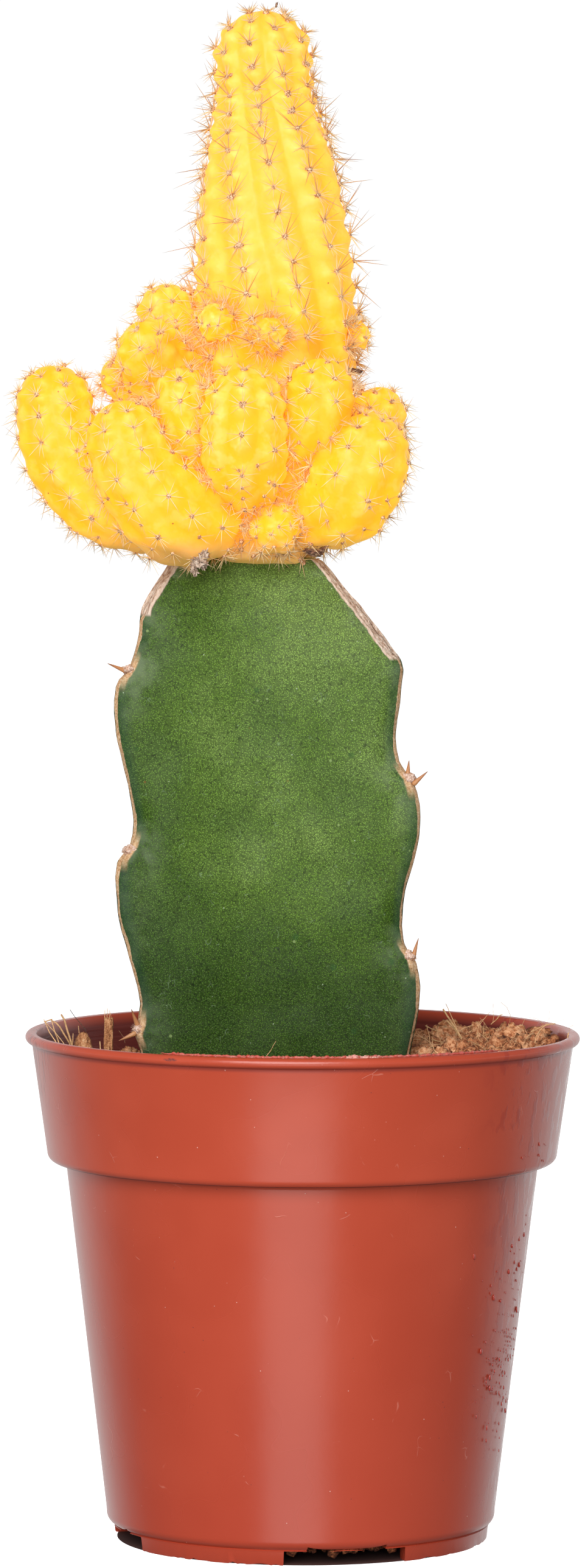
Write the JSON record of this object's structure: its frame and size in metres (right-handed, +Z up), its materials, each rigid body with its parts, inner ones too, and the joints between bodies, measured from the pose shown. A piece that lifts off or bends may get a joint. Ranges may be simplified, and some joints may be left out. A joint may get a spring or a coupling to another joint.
{
  "type": "potted tall cactus",
  "caption": "Grafted cactus in a round nursery pot: a ribbed yellow column with a skirt of finger-like offsets, on a thick three-angled green rootstock in coir mix.",
  "frame": {"origin": "on the pot's axis, in the plane of its feet's undersides, which is the surface that it stands on", "axes": "+Z up along the pot's axis; the rootstock turns one flat face towards -Y; +X is to the right when looking at that face"},
  "size_m": [0.0911, 0.09, 0.2474],
  "materials": {
    "moulded_plastic": "satin",
    "coir": "matte",
    "green_skin": "satin",
    "yellow_skin": "satin",
    "horn": "satin",
    "coconut_husk": "matte",
    "dried_petals": "matte"
  },
  "bodies": {
    "root": {"pot": "moulded_plastic", "potting_mix": "coir", "rootstock": "green_skin", "yellow_column": "yellow_skin", "offset_front_left": "yellow_skin", "offset_front_centre": "yellow_skin", "offset_right": "yellow_skin", "offset_far_left": "yellow_skin", "offset_front_right": "yellow_skin", "offset_mid_left": "yellow_skin", "offset_upper_left": "yellow_skin", "offset_right_back": "yellow_skin", "offset_upper_left_back": "yellow_skin", "offset_left_small": "yellow_skin", "offset_back_centre": "yellow_skin", "offset_back_left": "yellow_skin", "offset_back_right": "yellow_skin", "offset_back_upper_left": "yellow_skin", "offset_back_upper_right": "yellow_skin", "pup_front": "yellow_skin", "pup_column_left": "yellow_skin", "pup_column_front": "yellow_skin", "pup_column_right": "yellow_skin", "pup_back": "yellow_skin", "pup_column_back": "yellow_skin", "thorn_left_upper": "horn", "thorn_left_lower_up": "horn", "thorn_left_lower_down": "horn", "thorn_right_upper_out": "horn", "thorn_right_upper_in": "horn", "thorn_right_lower": "horn", "thorn_back_upper": "horn", "thorn_back_lower": "horn", "husk_chip_left": "coconut_husk", "husk_chip_right": "coconut_husk", "husk_chip_right_back": "coconut_husk", "husk_chip_back": "coconut_husk", "husk_stick": "coconut_husk", "dried_flower": "dried_petals"}
  },
  "joints": []
}
